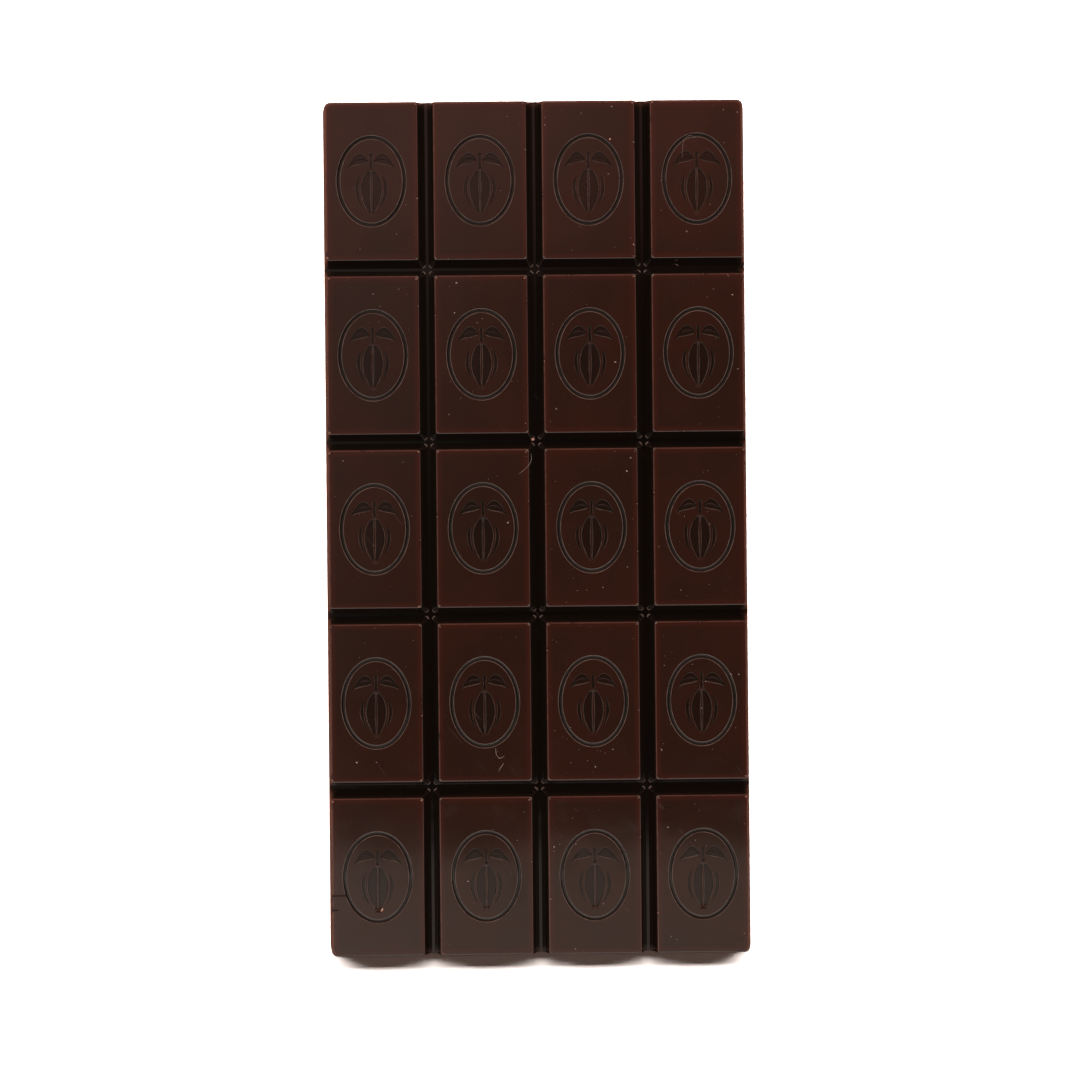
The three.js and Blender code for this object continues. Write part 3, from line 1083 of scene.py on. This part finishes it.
def chocolate_color(tree):
    calc = partial(math_node, tree)
    red_patches = group_node(tree, clouds_group, Size=9 * MM, Low=0.35, High=0.65)
    mottle = group_node(tree, clouds_group, Size=0.4 * MM, Low=0.3, High=0.7, Shift=(0, 0.4, 0))
    fine = calc("MULTIPLY", mottle, 1 - RED_PATCHES)
    redness = calc("ADD", calc("MULTIPLY", red_patches, RED_PATCHES), fine)
    color = mixed(tree, redness, DARK, REDDISH)
    # painted shade in the pressed motif
    color = mixed(tree, marked(tree, "pressed"), color, PRESSED_SHADE)
    worn = group_node(tree, clouds_group, Size=1.4 * MM, Low=0.3, High=0.62, Shift=(0.3, 0, 0))
    patchy = calc("ADD", calc("MULTIPLY", worn, 1 - LEAST_RUBBED), LEAST_RUBBED)
    arris = marked(tree, "arris")
    near_arris = add(tree, "ShaderNodeMapRange", Value=arris, From_Max=ARRIS_WARM).outputs[0]
    on_arris = add(tree, "ShaderNodeMapRange", Value=arris, From_Min=ARRIS_RUBBED).outputs[0]
    # painted light at the arrises: a warm glow inside the edge, then the rubbed edge with its painted
    # highlight
    color = mixed(tree, near_arris, color, WARM)
    color = mixed(tree, calc("MULTIPLY", on_arris, patchy), color, RUBBED_LIT_EDGE)
    shaded = mixed(tree, 1.0, color, (IN_GROOVE,) * 3 + (1,), "MULTIPLY")
    color = mixed(tree, shade_in_grooves(tree), color, shaded)
    rim = marked(tree, "rim")
    # painted grey highlights on the rims and corners
    color = mixed(tree, calc("MULTIPLY", rim, patchy), color, RIM_HIGHLIGHT)
    color = mixed(tree, calc("SUBTRACT", arris, 1.0), color, THIN)
    return mixed(tree, calc("MULTIPLY", marked(tree, "chip"), worn), color, CHIPPED_AND_GLOW)


print("the colours are mixed by the marks: pressed, arris, rise, rim, chip")

# %% [markdown]
# The finish is a gloss, a little duller where it is scuffed. Its height is a slow wave left by the mould,
# a fine grain and the scratches, all of them far below a hundredth of a millimetre.

# %% The material
GLOSS_ROUGHNESS = 0.075
SCUFFED = 0.04  # what scuffs and scratches add to the roughness
SCRATCHED = 0.2
SCRATCH_TURN = math.radians(-38)
SCRATCH_DEPTH = 0.002
WAVE_SIZE, WAVE_HEIGHT = 2.6, 0.0015
GRAIN_SIZE, GRAIN_HEIGHT = 0.25, 0.00015


def chocolate():
    material, tree = material_tree("dark_chocolate")
    calc = partial(math_node, tree)
    place = add(tree, "ShaderNodeTexCoord").outputs["Object"]
    scuffs = group_node(tree, clouds_group, Size=4 * MM, Low=0.5, High=0.75, Shift=(0, 0.7, 0))
    scratches = group_node(tree, scratches_group, Turn=SCRATCH_TURN)
    roughness = calc("ADD", calc("MULTIPLY", scuffs, SCUFFED), calc("MULTIPLY", scratches, SCRATCHED))
    waves = add(tree, "ShaderNodeTexNoise", Vector=place, Scale=1 / (WAVE_SIZE * MM), Detail=1.0)
    grain = add(tree, "ShaderNodeTexNoise", Vector=place, Scale=1 / (GRAIN_SIZE * MM), Detail=2.0)
    height = calc("MULTIPLY", waves.outputs[0], WAVE_HEIGHT * MM)
    height = calc("ADD", height, calc("MULTIPLY", grain.outputs[0], GRAIN_HEIGHT * MM))
    height = calc("SUBTRACT", height, calc("MULTIPLY", scratches, SCRATCH_DEPTH * MM))
    bump = add(tree, "ShaderNodeBump", Strength=1.0, Distance=1.0, Height=height)
    surface = add(
        tree,
        "ShaderNodeBsdfPrincipled",
        Base_Color=chocolate_color(tree),
        Roughness=calc("ADD", roughness, GLOSS_ROUGHNESS),
        IOR=1.5,
        Normal=bump.outputs[0],
        # painted glints: past a rim mark of 1 the surface glows with the glint colour, elsewhere faintly
        # with the soaked light
        Emission_Color=mixed(tree, calc("SUBTRACT", marked(tree, "rim"), 1.0), SOAKED, GLINT),
        Emission_Strength=1.0,
    )
    tree.links.new(surface.outputs[0], add(tree, "ShaderNodeOutputMaterial").inputs["Surface"])
    return material


dark_chocolate = chocolate()
print("nodes in the chocolate:", len(dark_chocolate.node_tree.nodes))

# %% [markdown]
# ## Cut the pits with one boolean
# All the balls and the two bars for the cracks are one cutter, so that one boolean is enough. The cutter
# carries marks of its own, and the cut faces inherit them: chip, because broken chocolate is paler than a
# moulded face, and its colour also stands for painted light glowing through the thin broken edge, and
# rise, which is low at the bottom of a crack and so gives it the painted shade of a groove.

# %% The cutter
IN_CRACK = 0.5  # the rise mark at the bottom of a crack, which paints a groove's shade there


def pit_cutter():
    cutter = bmesh.new()
    for x, y, z, radius in pits:
        place = Matrix.Translation(Vector((x, y, z)) * MM)
        bmesh.ops.create_icosphere(cutter, subdivisions=2, radius=radius * MM, matrix=place)
    in_balls = len(cutter.verts)
    for middle, length in CRACKS:
        place = Matrix.Translation(Vector((*middle, THICKNESS)) * MM)
        place = place @ Matrix.Diagonal((length, *CRACK_SECTION, 1)) @ Matrix.Rotation(math.pi / 4, 4, "X")
        bmesh.ops.create_cube(cutter, size=MM, matrix=place)
    in_bars = len(cutter.verts) - in_balls
    data = bpy.data.meshes.new("pit_cutter")
    cutter.to_mesh(data)
    cutter.free()
    marks = {"chip": [1.0] * in_balls + [0.0] * in_bars, "rise": [1.0] * in_balls + [IN_CRACK] * in_bars}
    for label, values in marks.items():
        data.attributes.new(label, "FLOAT", "POINT").data.foreach_set("value", values)
    return bpy.data.objects.new("pit_cutter", data)


cutter_object = pit_cutter()
print("triangles in the cutter:", len(cutter_object.data.polygons))

# %% [markdown]
# The tree ends by giving the solid its finish. The boolean leaves an empty slot before it, which is taken
# out. Points that the cut itself makes have no marks, so their rise is worked out again from their height.
# A cut edge is sharp, so edges over a certain angle are kept out of the smoothing.

# %% The cut, and the bar's place in the frame
SHARP_FROM = math.radians(38)

tree, given, result = new_tree(
    "cut pits",
    [("Geometry", GEOMETRY, None), ("Cutter", OBJECT, None), ("Finish", MATERIAL, None)],
    [("Geometry", GEOMETRY)],
)
cutter = add(tree, "GeometryNodeObjectInfo", Object=given["Cutter"])
settings = {"operation": "DIFFERENCE", "solver": "MANIFOLD"}
cut = add(tree, "GeometryNodeMeshBoolean", settings, Mesh_1=given["Geometry"])
feed(tree, cut.inputs["Mesh 2"], cutter.outputs["Geometry"])
finished = add(tree, "GeometryNodeSetMaterial", Geometry=cut.outputs["Mesh"], Material=given["Finish"])
tree.links.new(finished.outputs[0], result["Geometry"])
bar = plain_mesh("chocolate", tree, {"Cutter": cutter_object, "Finish": dark_chocolate}, closed_mesh)
bar.data.materials.pop(index=0)
bar.data.set_sharp_from_angle(angle=SHARP_FROM)
for vertex, mark in zip(bar.data.vertices, bar.data.attributes["rise"].data):
    if mark.value == 0:
        mark.value = max(0.0, vertex.co.z / MM - WEB) / GROOVE_DEPTH
for label in ("lean", "middle"):
    bar.data.attributes.remove(bar.data.attributes[label])
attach(bar, "root")
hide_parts("chocolate_bar")

check = bmesh.new()
check.from_mesh(bar.data)
print_solidity(check)
check.free()
print("triangles:", len(bar.data.polygons), "finish:", [slot.material.name for slot in bar.material_slots])

# %% [markdown]
# ## Crumbs and fibres
# A bar that has been handled carries crumbs. Each is a tiny closed chip. A node tree scatters them on the
# upper faces, more in some places than in others, each turned, flattened and sized by its own random
# numbers. Most are very small, because the size is a random number to the fourth power.

# %% The tree that scatters crumbs
CLUSTER_SCALE = 85.0  # crowded places are a centimetre or so apart
CLUSTERING = 3.5  # the higher, the emptier it is between them
LEVEL_ENOUGH = 0.9  # how squarely a face has to look up to hold a crumb
CHIP_WIDTHS, CHIP_HEIGHTS = (0.35, 1.0), (0.3, 0.6)  # as shares of a chip's length
CHIP_JAG = 0.16  # how far its points are moved
CHIP_TIP = 0.4  # radians
MOSTLY_SMALL = 4.0  # the power

tree, given, result = new_tree(
    "scatter crumbs",
    [
        ("Geometry", GEOMETRY, None),
        ("Lowest", FLOAT, 0.0),
        ("Density", FLOAT, 1000.0),
        ("Smallest", FLOAT, 0.0001),
        ("Largest", FLOAT, 0.0003),
        ("Seed", INTEGER, 0),
        ("Finish", MATERIAL, None),
    ],
    [("Geometry", GEOMETRY)],
)
scatter = partial(math_node, tree)


def random_value(low, high, shift):
    node = add(tree, "FunctionNodeRandomValue", {"data_type": "FLOAT"}, Min=low, Max=high)
    feed(tree, node.inputs["Seed"], scatter("ADD", given["Seed"], float(shift)))
    return enabled_output(node)


position = add(tree, "GeometryNodeInputPosition").outputs[0]
height = add(tree, "ShaderNodeSeparateXYZ", Vector=position).outputs["Z"]
facing = add(tree, "ShaderNodeSeparateXYZ", Vector=add(tree, "GeometryNodeInputNormal").outputs[0])
on_top = scatter("MULTIPLY", scatter("GREATER_THAN", height, given["Lowest"]), facing.outputs["Z"])
clusters = add(tree, "ShaderNodeTexNoise", Scale=CLUSTER_SCALE, Detail=1.0)
crowding = scatter("POWER", clusters.outputs[0], CLUSTERING)
spots = add(
    tree,
    "GeometryNodeDistributePointsOnFaces",
    Mesh=given["Geometry"],
    Selection=scatter("GREATER_THAN", on_top, LEVEL_ENOUGH),
    Density=scatter("MULTIPLY", crowding, given["Density"]),
    Seed=given["Seed"],
)
chip = add(tree, "GeometryNodeMeshIcoSphere", Radius=0.5, Subdivisions=1)
low, high = (-CHIP_JAG,) * 3, (CHIP_JAG,) * 3
jag = add(tree, "FunctionNodeRandomValue", VECTOR_TYPE, Min=low, Max=high, Seed=3)
jagged = add(tree, "GeometryNodeSetPosition", Geometry=chip.outputs["Mesh"], Offset=enabled_output(jag))
wide, tall = random_value(*CHIP_WIDTHS, 1), random_value(*CHIP_HEIGHTS, 2)
sizes = add(tree, "ShaderNodeCombineXYZ", X=1.0, Y=wide, Z=tall)
size_range = scatter("SUBTRACT", given["Largest"], given["Smallest"])
size = scatter("MULTIPLY", scatter("POWER", random_value(0.0, 1.0, 3), MOSTLY_SMALL), size_range)
scaled = vector_math(tree, "SCALE", sizes.outputs[0])
tree.links.new(scatter("ADD", size, given["Smallest"]), scaled.node.inputs["Scale"])
tip, spin = random_value(-CHIP_TIP, CHIP_TIP, 4), random_value(0.0, math.tau, 5)
turn = add(tree, "ShaderNodeCombineXYZ", X=tip, Z=spin)
tones = stored(tree, spots.outputs["Points"], "tone", random_value(0.0, 1.0, 6), "FLOAT")
chips = add(
    tree,
    "GeometryNodeInstanceOnPoints",
    Points=tones,
    Instance=jagged.outputs[0],
    Rotation=turn.outputs[0],
    Scale=scaled,
)
real = add(tree, "GeometryNodeRealizeInstances", Geometry=chips.outputs[0])
finished = add(tree, "GeometryNodeSetMaterial", Geometry=real.outputs[0], Material=given["Finish"])
tree.links.new(finished.outputs[0], result["Geometry"])
print("nodes in the tree:", len(tree.nodes))

# %% [markdown]
# The crumbs are paler than the bar, from brown to tan, because a shaving of chocolate scatters light on
# all its small faces.

# %% Crumbs
DARK_CRUMB = (0.055, 0.032, 0.024, 1)
PALE_CRUMB = (0.24, 0.18, 0.155, 1)
CRUMBLY = 0.6  # roughness
BELOW_TOP = 0.2  # how far below the top crumbs may lie


def crumb_material():
    material, tree = material_tree("crumbs")
    color = mixed(tree, marked(tree, "tone"), DARK_CRUMB, PALE_CRUMB)
    surface = add(tree, "ShaderNodeBsdfPrincipled", Base_Color=color, Roughness=CRUMBLY)
    tree.links.new(surface.outputs[0], add(tree, "ShaderNodeOutputMaterial").inputs["Surface"])
    return material


crumb_inputs = {
    "Lowest": (THICKNESS - BELOW_TOP) * MM,
    "Density": 4.5e5,
    "Smallest": 0.08 * MM,
    "Largest": 0.34 * MM,
    "Seed": 4,
    "Finish": crumb_material(),
}
crumbs = plain_mesh("crumbs", tree, crumb_inputs, bar.data.copy())
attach(crumbs, "root")
FACES_OF_CHIP = 20
print("crumbs:", len(crumbs.data.polygons) // FACES_OF_CHIP)

# %% [markdown]
# Five larger chips lie where they fell. Each is a ball stretched to its own size and turned, with every
# point pulled in or out at random, so that it is jagged.

# %% Larger chips
LARGER_CHIPS = (
    # where it lies, how long, wide and high it is, and its turn in degrees
    ((-22.1, -52.9, 6.6), (0.62, 0.34, 0.3), 62),
    ((-25.4, -32.4, 6.6), (0.36, 0.28, 0.25), 20),
    ((10.6, 54.0, 6.6), (0.4, 0.3, 0.25), 100),
    ((-0.53, 12.3, 4.7), (0.55, 0.55, 0.5), 0),
    ((19.8, 36.6, 4.6), (0.8, 0.14, 0.14), -27),
)
JAG = (0.7, 1.1)
CHIP_COLOR = (0.42, 0.21, 0.15, 1)


def add_larger_chips():
    heap = bmesh.new()
    for middle, size, turn in LARGER_CHIPS:
        first = len(heap.verts)
        bmesh.ops.create_icosphere(heap, subdivisions=1, radius=0.5)
        heap.verts.ensure_lookup_table()
        turned = Matrix.Translation(middle) @ Matrix.Rotation(math.radians(turn), 4, "Z")
        for vert in heap.verts[first:]:
            jag = Vector([chance.uniform(*JAG) for _ in range(3)])
            vert.co = (turned @ (vert.co * jag * Vector(size))) * MM
    data = bpy.data.meshes.new("larger_chips")
    heap.to_mesh(data)
    heap.free()
    return data


chip_data = add_larger_chips()
chip_data.materials.append(plain_material("larger_chip", CHIP_COLOR, CRUMBLY))
larger_chips = bpy.data.objects.new("larger_chips", chip_data)
bpy.context.scene.collection.objects.link(larger_chips)
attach(larger_chips, "root")
print("larger chips:", len(LARGER_CHIPS))

# %% [markdown]
# Two fibres of lint and two curled shavings lie on the bar. Each is a thin tube along a smooth curve
# through a handful of points, thinner at its ends.

# %% Fibres
FIBRE_SIDES = 5
FIBRE_SPANS = 7
FIBRE_END = 0.35  # how thick its ends are, as a share of its middle
FIBRE_COLOR = (0.17, 0.12, 0.095, 1)
FIBRE_ROUGHNESS = 0.5
FIBRES = (
    # radius, then points x, y and height above the top
    (
        0.02,
        ((20.6, 51.3, 0.02), (20.8, 53.4, 0.1), (21.1, 54.0, 0.12), (21.8, 54.4, 0.12), (22.5, 54.1, 0.03)),
    ),
    (0.035, ((-2.5, 7.5, 0.03), (-1.5, 8.3, 0.12), (-0.8, 9.3, 0.16), (-0.75, 10.3, 0.05))),
    (0.045, ((-6.1, -30.6, 0.05), (-6.0, -31.5, 0.08), (-5.5, -32.0, 0.08), (-4.9, -31.7, 0.04))),
    (0.05, ((-5.0, -32.7, 0.04), (-5.35, -33.2, 0.07), (-5.7, -33.8, 0.04))),
)


def smooth_curve(knots):
    """Points on a Catmull-Rom curve through the knots."""
    ends = [2 * knots[0] - knots[1]] + knots + [2 * knots[-1] - knots[-2]]
    points = []
    for a, b, c, d in zip(ends, ends[1:], ends[2:], ends[3:]):
        along, bend, twist = c - a, 2 * a - 5 * b + 4 * c - d, 3 * b - a - 3 * c + d
        for step in range(FIBRE_SPANS):
            t = step / FIBRE_SPANS
            points.append(0.5 * (2 * b + along * t + bend * t**2 + twist * t**3))
    return points + [knots[-1]]


def add_fibre(mesh, radius, knots):
    path = smooth_curve([Vector((x, y, THICKNESS + z)) for x, y, z in knots])
    rings = []
    for number, place in enumerate(path):
        ahead = path[min(number + 1, len(path) - 1)] - path[max(number - 1, 0)]
        side = ahead.cross(Vector((0, 0, 1))).normalized()
        over = side.cross(ahead).normalized()
        swelling = math.sin(math.pi * number / (len(path) - 1)) ** 0.5
        thick = radius * (FIBRE_END + (1 - FIBRE_END) * swelling)
        turns = [math.tau * i / FIBRE_SIDES for i in range(FIBRE_SIDES)]
        around = [place + thick * (math.cos(turn) * side + math.sin(turn) * over) for turn in turns]
        rings.append([mesh.verts.new(point * MM) for point in around])
    for near, far in zip(rings, rings[1:]):
        for i in range(FIBRE_SIDES):
            j = (i + 1) % FIBRE_SIDES
            mesh.faces.new((near[i], far[i], far[j], near[j]))
    mesh.faces.new(rings[0])
    mesh.faces.new(reversed(rings[-1]))


fibre_mesh = bmesh.new()
for radius, knots in FIBRES:
    add_fibre(fibre_mesh, radius, knots)
bmesh.ops.recalc_face_normals(fibre_mesh, faces=fibre_mesh.faces)
print("fibres closed:", all(edge.is_manifold for edge in fibre_mesh.edges))
fibre_data = bpy.data.meshes.new("fibres")
fibre_mesh.to_mesh(fibre_data)
fibre_mesh.free()
fibre_data.materials.append(plain_material("fibre", FIBRE_COLOR, FIBRE_ROUGHNESS))
fibres = bpy.data.objects.new("fibres", fibre_data)
bpy.context.scene.collection.objects.link(fibres)
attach(fibres, "root")

# %% [markdown]
# ## Light and floor
# A long strip light hangs across the bar, high up beyond its upper end, so that the only shadow is the one
# below the lower end. The strip is not very deep, which keeps that shadow's edge fairly crisp, and three
# lamps laid over one another make it brightest in its middle. So the light that each groove lets through
# draws a small pointed notch in the edge. The strip lights only what is matt. What the glossy top mirrors
# is a world of its own: a dim card on the lower side, which the last row catches, and soft patches.

# %% The strip light
STRIP_HEIGHT = 0.9
STRIP_DEPTH = 0.22
STRIP_LENGTHS = (0.16, 1.45, 1.88)
STRIP_POWER = 18.9  # watts for each metre of all three
STRIP_SLOPE = 0.564  # how far a shadow reaches, as a share of the height that casts it


def area_light(name, width, depth, power):
    data = bpy.data.lights.new(name, "AREA")
    data.shape = "RECTANGLE"
    data.size = width
    data.size_y = depth
    data.energy = power
    lamp = bpy.data.objects.new(name, data)
    bpy.context.scene.collection.objects.link(lamp)
    return lamp


lower_end = Vector((0, cad_box[0].y, 0))
above = Vector((0, STRIP_SLOPE, 1)) * STRIP_HEIGHT
share = STRIP_POWER / len(STRIP_LENGTHS)
strips = [area_light("strip", length, STRIP_DEPTH, share * length) for length in STRIP_LENGTHS]
for lamp in strips:
    lamp.matrix_world = camera_matrix(lower_end + above, lower_end, 0.0)
    lamp.visible_glossy = False
print("the strip hangs at", [round(v, 2) for v in lamp.matrix_world.translation], "m")

# %% [markdown]
# The card is an area light that is seen only in reflections. Its near edge draws the line across the
# last row where the sheen begins.

# %% The card
CARD_HEIGHT = 0.8
CARD_DEPTH = 1.2
CARD_WIDTH = 2.4
CARD_RADIANCE = 0.64
CARD_COLOR = (1.0, 0.86, 0.74)
SHEEN_STARTS = -44.0 * MM  # along Y, where the last row begins to mirror the card

card = area_light("card", CARD_WIDTH, CARD_DEPTH, CARD_RADIANCE * math.pi * CARD_WIDTH * CARD_DEPTH)
card.data.color = CARD_COLOR
slope = (EYE.y - SHEEN_STARTS) / (EYE.z - THICKNESS * MM)
near_edge = SHEEN_STARTS - CARD_HEIGHT * slope
card.location = (0, near_edge - CARD_DEPTH / 2, CARD_HEIGHT)
card.visible_diffuse = False
print("the card's near edge is", round(-near_edge, 3), "m below the bar's middle")

# %% [markdown]
# The floor is exposed past white, so that nothing but the shadow is seen of it. It has four colours: the
# camera sees one near the bar, which is a little warm, and a much stronger one far out, where little of
# the strip's light arrives and the floor would turn grey. A plain white one lights the bar's sides, and a
# brown one is what the gloss of those sides mirrors.

# %% The floor
FLOOR_SIZE = 6.0
FLOOR_SEEN = (2.60, 2.32, 2.20, 1)
FLOOR_FAR = (150, 150, 150, 1)
FLOOR_NEAR_TO_FAR = (0.12, 3.0)  # metres from the middle
FLOOR_PLAIN = (0.86, 0.86, 0.86, 1)
FLOOR_IN_GLOSS = (0.19, 0.064, 0.042, 1)


def floor_material():
    material, tree = material_tree("floor")
    path = add(tree, "ShaderNodeLightPath").outputs
    color = mixed(tree, path["Is Glossy Ray"], FLOOR_PLAIN, FLOOR_IN_GLOSS)
    out = vector_math(tree, "LENGTH", add(tree, "ShaderNodeTexCoord").outputs["Object"])
    near, far = FLOOR_NEAR_TO_FAR
    farther = add(tree, "ShaderNodeMapRange", Value=out, From_Min=near, From_Max=far).outputs[0]
    color = mixed(tree, path["Is Camera Ray"], color, mixed(tree, farther, FLOOR_SEEN, FLOOR_FAR))
    surface = add(tree, "ShaderNodeBsdfDiffuse", Color=color)
    tree.links.new(surface.outputs[0], add(tree, "ShaderNodeOutputMaterial").inputs["Surface"])
    return material


floor_mesh = bpy.data.meshes.new("floor")
half = FLOOR_SIZE / 2
corners = [(-half, -half, 0), (half, -half, 0), (half, half, 0), (-half, half, 0)]
floor_mesh.from_pydata(corners, [], [(0, 1, 2, 3)])
floor_mesh.materials.append(floor_material())
floor = bpy.data.objects.new("floor", floor_mesh)
bpy.context.scene.collection.objects.link(floor)

# %% [markdown]
# The world is white to the camera and nearly dark to everything else. Matt surfaces get a faint warm fill
# from it, which sets how dark the shadow is. Glossy ones mirror patches of light, each of which grows from
# nothing to its full colour as a direction turns its way: a haze near the horizon, a glow to the upper
# left, something wooden beyond the upper end, a pale wall to the lower left, and a window each to the
# right and below, which draw a thin line along every arris that faces them. Light that has been to the
# floor first doesn't see the patches, or they would brighten the shadow.

# %% The world
FILL = (0.0318, 0.0232, 0.0198, 1)
PATCHES = (
    # the way it lies, where it starts and where it is full, and its colour
    ((0, 0, 1), 0.6, 0.1, (0.05, 0.05, 0.05, 1)),
    ((-1.0, 0.55, 0), -0.02, 0.12, (0.21, 0.19, 0.18, 1)),
    ((0, 1, 0), 0.06, 0.125, (0.32, 0.12, 0.10, 1)),
    ((-1, -1, 0), 0.17, 0.30, (0.25, 0.24, 0.23, 1)),
    ((1, 0, 0), 0.35, 0.75, (0.7, 0.62, 0.6, 1)),
    ((0, -1, 0), 0.35, 0.75, (1.0, 0.93, 0.9, 1)),
)

world = bpy.data.worlds.new("studio")
world.use_nodes = True
tree = world.node_tree
tree.nodes.clear()
path = add(tree, "ShaderNodeLightPath").outputs
direction = add(tree, "ShaderNodeTexCoord").outputs["Generated"]
gloss = (0, 0, 0, 1)
for way, start, full, color in PATCHES:
    toward = vector_math(tree, "DOT_PRODUCT", direction, way)
    share = add(tree, "ShaderNodeMapRange", EASED, Value=toward, From_Min=start, From_Max=full)
    gloss = mixed(tree, share.outputs[0], gloss, color, "ADD")
first_hit = math_node(tree, "LESS_THAN", path["Diffuse Depth"], 0.5)
color = mixed(tree, math_node(tree, "MULTIPLY", path["Is Glossy Ray"], first_hit), FILL, gloss)
color = mixed(tree, path["Is Camera Ray"], color, (1, 1, 1, 1))
background = add(tree, "ShaderNodeBackground", Color=color, Strength=1.0)
tree.links.new(background.outputs[0], add(tree, "ShaderNodeOutputWorld").inputs["Surface"])
bpy.context.scene.world = world
bpy.context.scene.view_settings.view_transform = "Standard"
